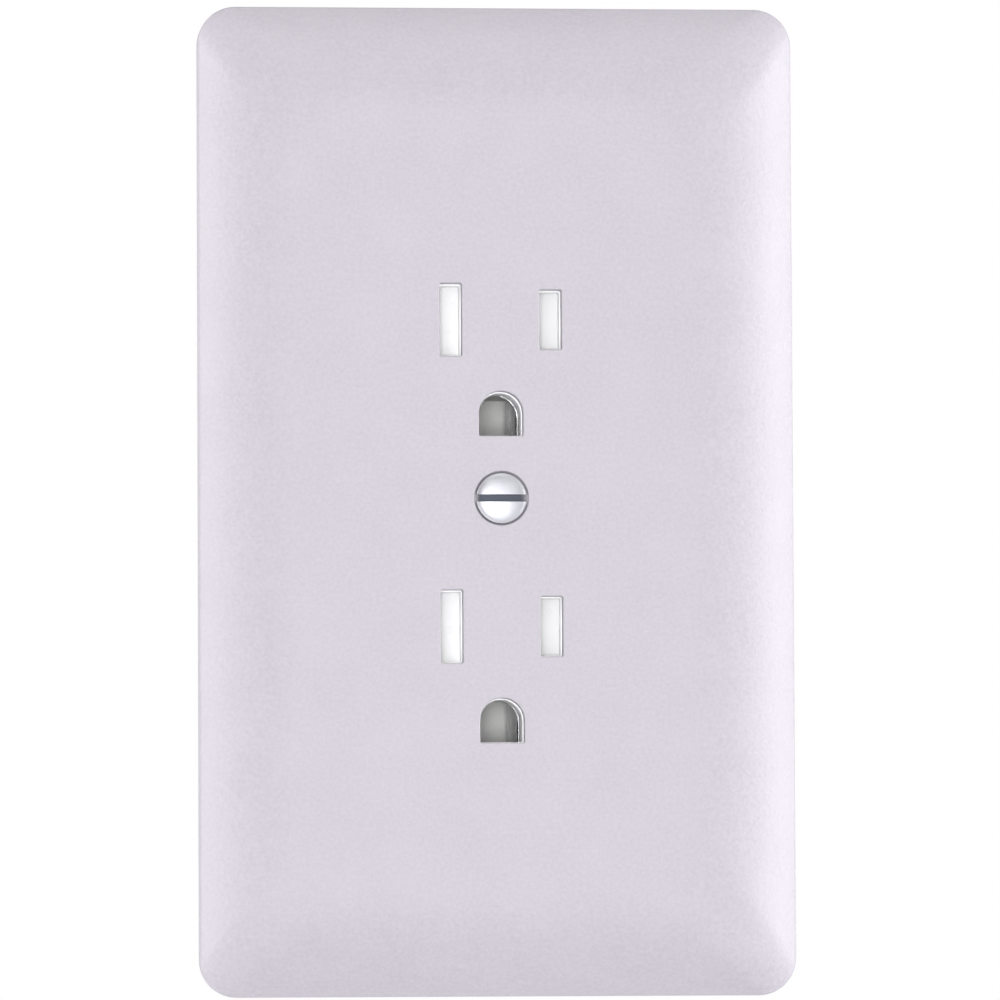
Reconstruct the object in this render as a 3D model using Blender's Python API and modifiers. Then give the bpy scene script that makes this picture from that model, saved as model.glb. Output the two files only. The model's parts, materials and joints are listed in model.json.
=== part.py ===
"""Duplex wall outlet: a crowned cover plate with one slotted screw over a two-outlet grounded receptacle.

The frame: +X is to the right seen from the room, +Y goes into the wall and +Z is up. The origin is
on the wall surface, behind the cover plate's screw. The dimensions below are in millimetres, and MM
turns them into metres where a mesh or a place is made.
"""

import math

import bmesh
import bpy
from mathutils import Matrix, Vector

MM = 0.001
CLEAR = 0.3  # between pieces that touch on the real object
FIT = 0.15  # between a fastener and what it bears on

# The standard 15 A, 125 V grounded outlet pattern.
OUTLET_PITCH = 38.9
BLADE_PITCH = 12.7
BLADE_RISE = 3.2  # the blades' row above the middle of its outlet
GROUND_DROP = 11.9  # the ground pin below the blades' row
OUTLETS = {"top": OUTLET_PITCH / 2, "bottom": -OUTLET_PITCH / 2}
POLES = {"hot": 1, "neutral": -1}

# Cover plate. Its front is flat in the middle and falls away to the rim on one arc.
PLATE_WIDTH, PLATE_HEIGHT, PLATE_DEPTH = 76.0, 126.0, 9.0
PLATE_WALL = 1.8
PLATE_CORNER = 4.8
CROWN_WIDTH = 14.0  # from the outline in to the flat
CROWN_ANGLE = math.radians(45)  # the slope where the crown meets the rim
CROWN_CORNER = 8.0  # corner radius of the flat
RIM_FILLET = 1.0
PLATE_SLOT_WIDTH = 2.85
PLATE_SLOT_HEIGHT = {"hot": 7.6, "neutral": 9.25}
PLATE_GROUND_WIDTH = 5.65
SCREW_MOUTH = 3.4  # radius of the countersink at the plate's front
BOSS_RADIUS = 4.3
RIB_HALF_WIDTH, RIB_HALF_HEIGHT, RIB_THICKNESS = 21.0, 36.0, 1.2
RIB_BACK = -3.2
ROOT_DEPTH = 0.4  # how far ribs and boss are sunk into the wall behind them

# 6-32 machine screws.
SCREW_RADIUS = 1.75
SCREW_TIP = 0.6  # chamfer at the end
HOLE_RADIUS = 1.88  # of a tapped or close hole around them
COUNTERSINK = math.radians(41)
PLATE_SCREW_HEAD, PLATE_SCREW_DOME, PLATE_SCREW_LENGTH = 3.2, 0.45, 17.5
MOUNTING_HEAD, MOUNTING_HEAD_HEIGHT, MOUNTING_LENGTH = 3.5, 2.1, 23.0
TERMINAL_HEAD, TERMINAL_HEAD_HEIGHT = 3.7, 2.2
GROUND_HEAD, GROUND_HEAD_HEIGHT, GROUND_SCREW_LENGTH = 3.6, 2.3, 5.2
DRIVER_SLOT_WIDTH, DRIVER_SLOT_DEPTH = 1.1, 1.2

# Receptacle front housing, with its two raised outlet faces.
BODY_WIDTH, BODY_HEIGHT, BODY_CORNER = 33.6, 70.0, 2.5
FACE_FRONT, FACE_WALL = -6.8, 1.5
FACE_RADIUS, FACE_HALF_HEIGHT = 17.0, 14.3
FACE_SIDE = 1.6  # wall round the room behind each face
FLANGE_FRONT, FLANGE_BACK = -2.7, 0.1
FACE_SLOT_WIDTH = 2.5
FACE_SLOT_HEIGHT = {"hot": 7.3, "neutral": 8.9}
FACE_GROUND_WIDTH = 5.4
WAIST_RADIUS = 4.7

# Mounting strap, whose back lies on the wall.
STRAP_THICKNESS = 1.2
STRAP_WIDTH = 24.0
STRAP_LENGTH = 106.4
MOUNTING_PITCH = 83.34
TAB_WIDTH = 18.8
EAR_WIDTH, EAR_START = 33.0, 38.5
EAR_SLIT = 0.8  # between an ear and the tab it snaps off
EAR_BRIDGE = (43.8, 46.6)
EAR_HOLE_X, EAR_HOLE_Z, EAR_HOLE_RADIUS = 13.3, 48.6, 1.9
COLLAR_RADIUS, COLLAR_BACK = 3.0, 1.8

# Back housing.
BACK_FRONT, BACK_DEPTH = 0.4, 24.0
BACK_END = BACK_FRONT + BACK_DEPTH
PANEL_HALF_WIDTH, PANEL_HALF_HEIGHT, PANEL_DEPTH = 8.4, 29.0, 0.5
GAUGE_HALF_WIDTH, GAUGE_HALF_LENGTH, GAUGE_DEPTH = 0.8, 6.0, 1.5
RELEASE_X, RELEASE_HALF_HEIGHT, RELEASE_DEPTH = (14.0, 15.2), 1.5, 2.0
RIVET_X, RIVET_Z, RIVET_RADIUS = 13.9, 32.6, 1.15
RIVET_HEAD, RIVET_HEAD_HEIGHT = 1.75, 0.7

# Contact strips and terminals.
BUS_IN, BUS_OUT = 12.6, 13.4
TERMINAL_Z, TERMINAL_Y = 9.5, 11.0
BUS_FRONT, BUS_BACK, BUS_HALF = 4.5, 17.5, 14.5
BUS_END_FRONT = 10.0
NOTCH_HALF, FIN_HALF, FIN_OUT = 1.6, 0.45, 15.6
FIN_Y = (9.6, 12.4)
NOTCH_ENDS = (9.2, 12.8)  # the notches reach from the bus's edges to these depths
WEB_FRONT, WEB_BACK = 13.2, 14.0
JAW_GAP, JAW_SHEET, JAW_FRONT = 1.1, 0.6, 3.0
JAW_FLARE, JAW_BULGE, JAW_BULGE_Y = 0.55, 0.25, 8.0
JAW_HALF_HEIGHT = {"hot": 3.5, "neutral": 4.1}
CLAMP_IN, CLAMP_OUT, CLAMP_HALF_Y, CLAMP_HALF_Z = 11.0, 12.2, 3.6, 4.0
JAW_ROOM = (4.35, 8.35)
WIRE_X, WIRE_OFFSET, WIRE_RADIUS = 11.4, 3.1, 1.2
FUNNEL_RADIUS, FUNNEL_DEPTH = 2.0, 1.2
TERMINAL_SCREW_END = 8.9

# Shutters, which slide to +X by their travel.
SHUTTER_TRAVEL = 3.0
SHUTTER_FRONT, SHUTTER_BACK = -5.0, -2.6
SHUTTER_FRAME_FRONT = -3.4
SHUTTER_HALF_HEIGHT, SHUTTER_WINDOW_HALF = 5.3, 4.5
RAMP_TOE = 0.4
TRAY_FRONT, TRAY_BACK = -2.3, -1.5
SPRING_RADIUS, SPRING_WIRE, SPRING_TURNS = 0.85, 0.17, 4.5

# The green ground screw and its lug, at the strap's lower left corner.
LUG_OUT, LUG_IN = -12.6, -11.4
LUG_Z, LUG_HALF = -39.6, 4.0
LUG_DEPTH, GROUND_SCREW_Y = 10.0, 5.6

# Ground contacts, riveted to the strap above their pin holes.
FOOT_HALF_WIDTH, FOOT_BACK = 5.0, 1.1
FOOT_BELOW, FOOT_ABOVE = 3.8, 6.6  # from the ground pin's middle
LEAF_HALF_HEIGHT, LEAF_END = 2.5, 12.2
GROUND_RIVET_RISE, GROUND_RIVET_HOLE = 5.0, 1.35

# Fittings on the mounting screws.
RETAINER_SIDE, RETAINER_THICKNESS = 9.0, 0.8
CLIP_HALF_HEIGHT, CLIP_END = 3.0, 4.6

PARTS = bpy.data.collections.new("duplex_wall_outlet")
CUTTERS = bpy.data.collections.new("cutters")


# ---------------------------------------------------------------- materials


def make_material(name, colour, roughness, metallic=0.0):
    material = bpy.data.materials.new(name)
    material.use_nodes = True
    shader = material.node_tree.nodes["Principled BSDF"]
    shader.inputs["Base Color"].default_value = (*colour, 1)
    shader.inputs["Roughness"].default_value = roughness
    shader.inputs["Metallic"].default_value = metallic
    return material


def make_materials():
    return {
        "plate": make_material("textured_plate", (0.72, 0.70, 0.74), 0.5),
        "face": make_material("white_plastic", (0.88, 0.88, 0.87), 0.35),
        "back": make_material("back_plastic", (0.80, 0.80, 0.79), 0.5),
        "shutter": make_material("shutter_plastic", (0.93, 0.93, 0.93), 0.4),
        "zinc": make_material("zinc_steel", (0.66, 0.68, 0.71), 0.35, 1.0),
        "nickel": make_material("nickel", (0.70, 0.71, 0.73), 0.3, 1.0),
        "brass": make_material("brass", (0.78, 0.58, 0.27), 0.35, 1.0),
        "green": make_material("green_steel", (0.08, 0.35, 0.16), 0.35, 1.0),
        "spring": make_material("spring_steel", (0.58, 0.59, 0.61), 0.3, 1.0),
        "fibre": make_material("fibre", (0.45, 0.38, 0.28), 0.8),
    }


# ---------------------------------------------------------------- outlines


def arc(centre, radius, start, end, steps):
    """Points on an arc, both ends included; the angles are in degrees, from +u towards +v."""
    turn = [math.radians(start + (end - start) * i / steps) for i in range(steps + 1)]
    return [(centre[0] + radius * math.cos(a), centre[1] + radius * math.sin(a)) for a in turn]


def rounded_rectangle(width, height, radius, steps=6):
    u, v = width / 2 - radius, height / 2 - radius
    corners = ((u, v, 0), (-u, v, 90), (-u, -v, 180), (u, -v, 270))
    return [p for x, z, a in corners for p in arc((x, z), radius, a, a + 90, steps)]


def rectangle(centre, width, height):
    u, v = centre
    return [
        (u - width / 2, v - height / 2),
        (u + width / 2, v - height / 2),
        (u + width / 2, v + height / 2),
        (u - width / 2, v + height / 2),
    ]


def ground_hole(centre_z, width, steps=12):
    """A round top on straight sides and a flat foot, as deep below its centre as it is wide to one side."""
    radius = width / 2
    foot = centre_z - radius
    return [*arc((0, centre_z), radius, 0, 180, steps), (-radius, foot), (radius, foot)]


def outlet_face(centre_z, radius, half_height, steps=10):
    """A circle cut off flat above and below."""
    cut = math.degrees(math.asin(half_height / radius))
    centre = (0, centre_z)
    return arc(centre, radius, -cut, cut, steps) + arc(centre, radius, 180 - cut, 180 + cut, steps)


# ---------------------------------------------------------------- solids


def place(name, mesh, material=None, collection=PARTS):
    obj = bpy.data.objects.new(name, mesh)
    if material:
        mesh.materials.append(material)
    collection.objects.link(obj)
    return obj


def helper(obj):
    """Marks an object that only cuts, or is joined to, another."""
    for collection in obj.users_collection:
        collection.objects.unlink(obj)
    CUTTERS.objects.link(obj)
    obj.hide_render = True
    obj.display_type = "WIRE"
    return obj


def block(name, x, y, z, material=None):
    """A box from its span along each axis."""
    spans = [sorted(span) for span in (x, y, z)]
    size = [(high - low) * MM for low, high in spans]
    centre = [(high + low) / 2 * MM for low, high in spans]
    bm = bmesh.new()
    bmesh.ops.create_cube(bm, size=1, matrix=Matrix.Translation(centre) @ Matrix.Diagonal((*size, 1)))
    mesh = bpy.data.meshes.new(name)
    bm.to_mesh(mesh)
    bm.free()
    return place(name, mesh, material)


AXES = {
    "X": Matrix(((0, 0, 1, 0), (1, 0, 0, 0), (0, 1, 0, 0), (0, 0, 0, 1))),
    "Y": Matrix(((1, 0, 0, 0), (0, 0, -1, 0), (0, 1, 0, 0), (0, 0, 0, 1))),
    "Z": Matrix.Identity(4),
}


def rod(name, axis, centre, span, radius, end_radius=None, sides=24):
    """A cylinder or cone along an axis. Centre holds the two other coordinates, in X, Y, Z order."""
    low, high = span
    bm = bmesh.new()
    bmesh.ops.create_cone(
        bm,
        cap_ends=True,
        segments=sides,
        radius1=radius * MM,
        radius2=(radius if end_radius is None else end_radius) * MM,
        depth=abs(high - low) * MM,
    )
    direction = Vector([axis == a for a in "XYZ"]) * math.copysign(1, high - low)
    turn = Vector((0, 0, 1)).rotation_difference(direction)
    spot = list(centre)
    spot.insert("XYZ".index(axis), (low + high) / 2)
    bm.transform(Matrix.Translation(Vector(spot) * MM) @ turn.to_matrix().to_4x4())
    mesh = bpy.data.meshes.new(name)
    bm.to_mesh(mesh)
    bm.free()
    return place(name, mesh)


def prism(name, outline, axis, span, material=None):
    """A flat outline pulled along an axis. The outline is in Y and Z, X and Z, or X and Y."""
    low, high = sorted(span)
    curve = bpy.data.curves.new(name, "CURVE")
    curve.dimensions = "2D"
    curve.fill_mode = "BOTH"
    curve.extrude = (high - low) / 2 * MM
    spline = curve.splines.new("POLY")
    spline.points.add(len(outline) - 1)
    for point, (u, v) in zip(spline.points, outline):
        point.co = (u * MM, v * MM, 0, 1)
    spline.use_cyclic_u = True
    source = bpy.data.objects.new(name, curve)
    bpy.context.scene.collection.objects.link(source)
    graph = bpy.context.evaluated_depsgraph_get()
    mesh = bpy.data.meshes.new_from_object(source.evaluated_get(graph))
    bpy.data.objects.remove(source)
    bm = bmesh.new()
    bm.from_mesh(mesh)
    bmesh.ops.remove_doubles(bm, verts=bm.verts, dist=0.001 * MM)
    bm.transform(AXES[axis])
    shift = Vector([axis == a for a in "XYZ"]) * ((low + high) / 2 * MM)
    bmesh.ops.translate(bm, verts=bm.verts, vec=shift)
    bmesh.ops.recalc_face_normals(bm, faces=bm.faces)
    bm.to_mesh(mesh)
    bm.free()
    mesh.name = name
    return place(name, mesh, material)


def turned(name, profile, material=None, steps=24):
    """A solid of revolution about local Z, from (radius, height) points that run from top to bottom."""
    mesh = bpy.data.meshes.new(name)
    points = [(radius * MM, 0, height * MM) for radius, height in profile]
    mesh.from_pydata(points, [(i, i + 1) for i in range(len(points) - 1)], [])
    obj = place(name, mesh, material)
    screw = obj.modifiers.new("turn", "SCREW")
    screw.axis = "Z"
    screw.steps = screw.render_steps = steps
    screw.use_merge_vertices = True
    screw.merge_threshold = 0.01 * MM
    return obj


def boolean(obj, operation, others):
    for other in others:
        modifier = obj.modifiers.new(f"{operation.lower()}_{other.name}", "BOOLEAN")
        modifier.operation = operation
        modifier.object = helper(other)
    return obj


def cut(obj, *others):
    return boolean(obj, "DIFFERENCE", others)


def join(obj, *others):
    return boolean(obj, "UNION", others)


def settle(obj):
    """Applies the modifiers of a piece whose mesh its copies share, and removes what cut it."""
    tools = [m.object for m in obj.modifiers if m.type == "BOOLEAN"]
    graph = bpy.context.evaluated_depsgraph_get()
    mesh = bpy.data.meshes.new_from_object(obj.evaluated_get(graph))
    obj.modifiers.clear()
    obj.data = mesh
    for tool in tools:
        bpy.data.objects.remove(tool)
    return obj


def copies(first, name, placements):
    """The finished piece at each (name, location, direction of its local +Z)."""
    mesh = first.data
    mesh.name = name
    bpy.data.objects.remove(first)
    for label, location, direction in placements:
        obj = place(label, mesh)
        obj.location = Vector(location) * MM
        obj.rotation_euler = Vector((0, 0, 1)).rotation_difference(Vector(direction)).to_euler()


# ---------------------------------------------------------------- where things are


def blade_row(outlet):
    return OUTLETS[outlet] + BLADE_RISE


def ground_row(outlet):
    return blade_row(outlet) - GROUND_DROP


def outlet_cutters(name, outlet, slot_width, slot_height, ground_width, span):
    """Cutters for the two blade slots and the ground hole of one outlet."""
    row = blade_row(outlet)
    tools = [
        prism(
            f"{name}_{outlet}_{pole}",
            rectangle((side * BLADE_PITCH / 2, row), slot_width, slot_height[pole]),
            "Y",
            span,
        )
        for pole, side in POLES.items()
    ]
    ground = ground_hole(ground_row(outlet), ground_width)
    return [*tools, prism(f"{name}_{outlet}_ground", ground, "Y", span)]


# ---------------------------------------------------------------- cover plate


def crown_sections():
    """(inset from the outline, height above the wall) up the outside, from the rim's foot to the flat."""
    fillet_inset = RIM_FILLET * (1 - math.sin(CROWN_ANGLE))
    crown_radius = (CROWN_WIDTH - fillet_inset) / math.sin(CROWN_ANGLE)
    rise = crown_radius * (1 - math.cos(CROWN_ANGLE))
    shoulder = PLATE_DEPTH - rise - RIM_FILLET * math.cos(CROWN_ANGLE)
    sections = [(0, 0), (0, shoulder)]
    for i in range(1, 4):
        slope = math.pi / 2 + (CROWN_ANGLE - math.pi / 2) * i / 3
        sections.append((RIM_FILLET * (1 - math.sin(slope)), shoulder + RIM_FILLET * math.cos(slope)))
    steps = 10
    for i in range(1, steps + 1):
        slope = CROWN_ANGLE * (1 - i / steps)
        inset = CROWN_WIDTH - crown_radius * math.sin(slope)
        sections.append((inset, PLATE_DEPTH - crown_radius * (1 - math.cos(slope))))
    return sections


def crowned_shell(material):
    """The plate's outer surface, lofted through its sections, and thickened inwards."""
    bm = bmesh.new()
    rings = []
    for inset, height in crown_sections():
        corner = PLATE_CORNER + (CROWN_CORNER - PLATE_CORNER) * inset / CROWN_WIDTH
        outline = rounded_rectangle(PLATE_WIDTH - 2 * inset, PLATE_HEIGHT - 2 * inset, corner)
        rings.append([bm.verts.new(Vector((x, -height, z)) * MM) for x, z in outline])
    count = len(rings[0])
    for lower, upper in zip(rings, rings[1:]):
        for i in range(count):
            j = (i + 1) % count
            bm.faces.new((lower[i], lower[j], upper[j], upper[i]))
    bm.faces.new(rings[-1])
    bmesh.ops.recalc_face_normals(bm, faces=bm.faces)
    front = max(bm.faces, key=lambda f: f.calc_area())
    if front.normal.y > 0:
        bmesh.ops.reverse_faces(bm, faces=bm.faces)
    mesh = bpy.data.meshes.new("wall_plate")
    bm.to_mesh(mesh)
    bm.free()
    plate = place("wall_plate", mesh, material)
    shell = plate.modifiers.new("wall", "SOLIDIFY")
    shell.thickness = PLATE_WALL * MM
    shell.offset = -1
    shell.use_even_offset = True
    return plate


def make_wall_plate(materials):
    plate = crowned_shell(materials["plate"])
    inside = -PLATE_DEPTH + PLATE_WALL
    root = inside - ROOT_DEPTH
    half = RIB_THICKNESS / 2
    ribs = [
        block(
            f"rib_side_{side}",
            (side * RIB_HALF_WIDTH - half, side * RIB_HALF_WIDTH + half),
            (root, RIB_BACK),
            (-RIB_HALF_HEIGHT, RIB_HALF_HEIGHT),
        )
        for side in (-1, 1)
    ]
    ribs += [
        block(
            f"rib_end_{side}",
            (-RIB_HALF_WIDTH - half / 2, RIB_HALF_WIDTH + half / 2),
            (root + 0.05, RIB_BACK - 0.05),
            (side * RIB_HALF_HEIGHT - half - 0.1, side * RIB_HALF_HEIGHT + half - 0.1),
        )
        for side in (-1, 1)
    ]
    boss = rod("screw_boss", "Y", (0, 0), (root + 0.1, -STRAP_THICKNESS - 0.4), BOSS_RADIUS)
    join(plate, *ribs, boss)
    cone_depth = (SCREW_MOUTH - HOLE_RADIUS) / math.tan(COUNTERSINK)
    lip = -PLATE_DEPTH + 0.25
    cut(
        plate,
        rod("screw_hole", "Y", (0, 0), (-PLATE_DEPTH + 0.5, 0), HOLE_RADIUS + 0.1),
        rod("screw_cone", "Y", (0, 0), (lip - 0.05, lip + cone_depth), SCREW_MOUTH, HOLE_RADIUS),
        rod("screw_lip", "Y", (0, 0), (-PLATE_DEPTH - 1, lip), SCREW_MOUTH),
    )
    through = (-PLATE_DEPTH - 1, -PLATE_DEPTH + PLATE_WALL + 1)
    sizes = (PLATE_SLOT_WIDTH, PLATE_SLOT_HEIGHT, PLATE_GROUND_WIDTH)
    for outlet in OUTLETS:
        cut(plate, *outlet_cutters("plate_slot", outlet, *sizes, through))


# ---------------------------------------------------------------- screws and rivets


def shank(length):
    """The end of a screw's profile, down to its tip."""
    tip = SCREW_RADIUS - SCREW_TIP
    return [(SCREW_RADIUS, -length + SCREW_TIP), (tip, -length), (0, -length)]


def driver_slot(head_radius, head_height):
    reach, half = head_radius + 1, DRIVER_SLOT_WIDTH / 2
    depth = (head_height - DRIVER_SLOT_DEPTH, head_height + 1)
    return block("driver_slot", (-reach, reach), (-half, half), depth)


def countersunk_screw(name, head_radius, dome, length, material):
    """Slotted oval head, its rim at local height 0, with the shank below."""
    cone = (head_radius - SCREW_RADIUS) / math.tan(COUNTERSINK)
    swell = [(x * head_radius, y * dome) for y, x in arc((0, 0), 1, 0, 90, 4)]
    screw = turned(name, [*swell, (SCREW_RADIUS, -cone), *shank(length)], material)
    return settle(cut(screw, driver_slot(head_radius, dome)))


def pan_screw(name, head_radius, head_height, length, material):
    """Slotted pan head on its seat at local height 0, with the shank below."""
    head = [
        (0, head_height),
        (head_radius * 0.72, head_height - 0.1),
        (head_radius * 0.93, head_height - 0.55),
        (head_radius, head_height * 0.45),
        (head_radius, 0),
        (SCREW_RADIUS, 0),
    ]
    screw = turned(name, [*head, *shank(length)], material)
    return settle(cut(screw, driver_slot(head_radius, head_height)))


def make_plate_screw(materials):
    sizes = (PLATE_SCREW_HEAD, PLATE_SCREW_DOME, PLATE_SCREW_LENGTH)
    screw = countersunk_screw("plate_screw_blank", *sizes, materials["zinc"])
    copies(screw, "plate_screw", [("plate_screw", (0, -PLATE_DEPTH + 0.05, 0), (0, -1, 0))])


def make_mounting_screws(materials):
    sizes = (MOUNTING_HEAD, MOUNTING_HEAD_HEIGHT, MOUNTING_LENGTH)
    screw = pan_screw("mounting_screw_blank", *sizes, materials["zinc"])
    seat = -STRAP_THICKNESS - FIT
    spots = [
        (f"mounting_screw_{end}", (0, seat, sign * MOUNTING_PITCH / 2), (0, -1, 0))
        for end, sign in (("top", 1), ("bottom", -1))
    ]
    copies(screw, "mounting_screw", spots)


def make_terminal_screws(materials):
    seat = BUS_OUT + FIT
    for pole, side in POLES.items():
        material = materials["brass" if pole == "hot" else "nickel"]
        sizes = (TERMINAL_HEAD, TERMINAL_HEAD_HEIGHT, seat - TERMINAL_SCREW_END)
        screw = pan_screw("terminal_screw_blank", *sizes, material)
        spots = [
            (f"terminal_screw_{pole}_{end}", (side * seat, TERMINAL_Y, sign * TERMINAL_Z), (side, 0, 0))
            for end, sign in (("top", 1), ("bottom", -1))
        ]
        copies(screw, f"terminal_screw_{pole}", spots)


def make_ground_screw(materials):
    sizes = (GROUND_HEAD, GROUND_HEAD_HEIGHT, GROUND_SCREW_LENGTH)
    screw = pan_screw("ground_screw_blank", *sizes, materials["green"])
    seat = (LUG_OUT - FIT, GROUND_SCREW_Y, LUG_Z)
    copies(screw, "ground_screw", [("ground_screw", seat, (-1, 0, 0))])


def make_housing_rivets(materials):
    """Rivets from the flange's front to the back housing's back, local +Z towards the room."""
    front, back = FLANGE_FRONT - FIT, BACK_END + FIT
    head, height = RIVET_HEAD, RIVET_HEAD_HEIGHT
    length = back - front
    profile = [
        (0, height),
        (head * 0.6, height * 0.85),
        (head, height * 0.2),
        (head, 0),
        (RIVET_RADIUS, 0),
        (RIVET_RADIUS, -length),
        (head, -length),
        (head, -length - height * 0.2),
        (head * 0.6, -length - height * 0.85),
        (0, -length - height),
    ]
    rivet = settle(turned("housing_rivet_blank", profile, materials["nickel"], steps=16))
    spots = [
        (f"housing_rivet_{across}_{end}", (x * RIVET_X, front, z * RIVET_Z), (0, -1, 0))
        for across, x in (("left", -1), ("right", 1))
        for end, z in (("top", 1), ("bottom", -1))
    ]
    copies(rivet, "housing_rivet", spots)


# ---------------------------------------------------------------- receptacle housings


def make_front_housing(materials):
    half_height = BODY_HEIGHT / 2
    flange = rounded_rectangle(BODY_WIDTH, BODY_HEIGHT, BODY_CORNER)
    housing = prism("front_housing", flange, "Y", (FLANGE_FRONT, FLANGE_BACK), materials["face"])
    for outlet, middle in OUTLETS.items():
        outline = outlet_face(middle, FACE_RADIUS, FACE_HALF_HEIGHT)
        join(housing, prism(f"face_{outlet}", outline, "Y", (FACE_FRONT, FLANGE_FRONT + 0.2)))
    channel = STRAP_WIDTH / 2 + CLEAR
    cut(
        housing,
        block(
            "strap_channel",
            (-channel, channel),
            (-STRAP_THICKNESS - CLEAR, FLANGE_BACK + 1),
            (-half_height - 1, half_height + 1),
        ),
        rod("waist_hole", "Y", (0, 0), (FLANGE_FRONT - 1, 1), WAIST_RADIUS),
    )
    sizes = (FACE_SLOT_WIDTH, FACE_SLOT_HEIGHT, FACE_GROUND_WIDTH)
    span = (FACE_FRONT - 1, FACE_FRONT + FACE_WALL + 1)
    for outlet, middle in OUTLETS.items():
        room = outlet_face(middle, FACE_RADIUS - FACE_SIDE, FACE_HALF_HEIGHT - FACE_SIDE)
        cut(housing, prism(f"room_{outlet}", room, "Y", (FACE_FRONT + FACE_WALL, FLANGE_BACK + 1)))
        cut(housing, *outlet_cutters("face_slot", outlet, *sizes, span))
    cut(housing, *rivet_holes("front", (FLANGE_FRONT - 1, FLANGE_BACK + 1)))


def rivet_holes(name, span):
    spots = [(x * RIVET_X, z * RIVET_Z) for x in (-1, 1) for z in (-1, 1)]
    radius = RIVET_RADIUS + FIT
    return [
        rod(f"{name}_rivet_hole_{i}", "Y", spot, span, radius, sides=16)
        for i, spot in enumerate(spots)
    ]


def strip_spans(pole):
    """The boxes that make one pole's contact strip, each as X, Y and Z spans on the +X side."""
    spans = [((BUS_IN, BUS_OUT), (BUS_FRONT, BUS_BACK), (-BUS_HALF, BUS_HALF))]
    inner = BLADE_PITCH / 2 - JAW_GAP / 2 - JAW_SHEET
    half = JAW_HALF_HEIGHT[pole]
    top, bottom = blade_row("top"), blade_row("bottom")
    reaches = ((top - half, top + half), (bottom - half, -BUS_HALF + 0.2))
    for low, high in reaches:
        spans.append(((inner + 0.1, BUS_OUT - 0.1), (WEB_FRONT, WEB_BACK), (low, high)))
    # The narrower ends of the bus carry it past the webs.
    across, deep = (BUS_IN + 0.05, BUS_OUT - 0.05), (BUS_END_FRONT, WEB_BACK - 0.1)
    spans.append((across, deep, (BUS_HALF - 0.5, top + half - 0.1)))
    spans.append((across, deep, (bottom - half + 0.1, -BUS_HALF + 0.5)))
    return spans


def strip_rooms(pole, side, front):
    """Cutters for the space one contact strip and its terminal window take."""
    tools = []
    for i, (x, y, z) in enumerate(strip_spans(pole)):
        across = (side * (x[0] - CLEAR), side * (x[1] + CLEAR))
        deep = (front - i * 0.01, y[1] + CLEAR)
        tools.append(block(f"room_{pole}_{i}", across, deep, (z[0] - CLEAR, z[1] + CLEAR)))
    window = (side * (BUS_OUT - 0.2), side * (BODY_WIDTH / 2 + 1))
    deep = (BUS_FRONT + 0.3, BUS_BACK - 0.3)
    tall = (-BUS_HALF + 0.4, BUS_HALF - 0.4)
    tools.append(block(f"terminal_window_{pole}", window, deep, tall))
    across = (side * JAW_ROOM[0], side * JAW_ROOM[1])
    deep = (front - 0.1, WEB_BACK + CLEAR + 0.1)
    half = JAW_HALF_HEIGHT[pole] + 0.5
    for outlet in OUTLETS:
        row = blade_row(outlet)
        tools.append(block(f"jaw_room_{pole}_{outlet}", across, deep, (row - half, row + half)))
    return tools


def clamp_rooms(pole, side, front):
    """Cutters for one pole's wire clamps and the four wire holes that lead to them."""
    tools = []
    across = (side * (TERMINAL_SCREW_END - 0.15), side * (BUS_IN + 0.1))
    deep = (front - 0.2, TERMINAL_Y + CLAMP_HALF_Y + 0.5)
    reach = CLAMP_HALF_Z + 0.4
    hole = (TERMINAL_Y + 1, BACK_END + 1)
    funnel = (BACK_END - FUNNEL_DEPTH, BACK_END + 0.4)
    for end in (-1, 1):
        middle = end * TERMINAL_Z
        tools.append(block(f"clamp_room_{pole}_{end}", across, deep, (middle - reach, middle + reach)))
        for offset in (-WIRE_OFFSET, WIRE_OFFSET):
            spot = (side * WIRE_X, middle + offset)
            label = f"{pole}_{end}_{offset}"
            tools.append(rod(f"wire_hole_{label}", "Y", spot, hole, WIRE_RADIUS, sides=16))
            radii = (WIRE_RADIUS + 0.1, FUNNEL_RADIUS)
            tools.append(rod(f"wire_funnel_{label}", "Y", spot, funnel, *radii, 16))
    return tools


def ground_rooms(outlet, front):
    """Cutters for one ground contact's foot, leaves and rivet."""
    row = ground_row(outlet)
    foot = FOOT_HALF_WIDTH + 0.4
    tall = (row - FOOT_BELOW - CLEAR, row + FOOT_ABOVE + CLEAR)
    spot = (0, row + GROUND_RIVET_RISE)
    return [
        block(f"foot_room_{outlet}", (-foot, foot), (front, FOOT_BACK + 0.5), tall),
        block(f"ground_room_{outlet}", (-3.9, 3.9), (front - 0.1, LEAF_END + 1.2), (row - 3.3, row + 3.1)),
        rod(f"rivet_room_{outlet}", "Y", spot, (front, 3.0), 2.4, sides=16),
    ]


def back_marks():
    """Cutters for the shallow panel on the back, its wire-length gauge and the wire release slots."""
    back = BACK_END + 1
    panel = ((-PANEL_HALF_WIDTH, PANEL_HALF_WIDTH), (BACK_END - PANEL_DEPTH, back))
    gauge = ((-GAUGE_HALF_WIDTH, GAUGE_HALF_WIDTH), (BACK_END - GAUGE_DEPTH, back + 0.1))
    tools = [
        block("back_panel", *panel, (-PANEL_HALF_HEIGHT, PANEL_HALF_HEIGHT)),
        block("wire_gauge", *gauge, (-GAUGE_HALF_LENGTH, GAUGE_HALF_LENGTH)),
    ]
    deep = (BACK_END - RELEASE_DEPTH, back + 0.2)
    middles = [end * TERMINAL_Z + offset for end in (-1, 1) for offset in (-WIRE_OFFSET, WIRE_OFFSET)]
    for pole, side in POLES.items():
        across = (side * RELEASE_X[0], side * RELEASE_X[1])
        for i, z in enumerate(middles):
            tall = (z - RELEASE_HALF_HEIGHT, z + RELEASE_HALF_HEIGHT)
            tools.append(block(f"release_{pole}_{i}", across, deep, tall))
    return tools


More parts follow.
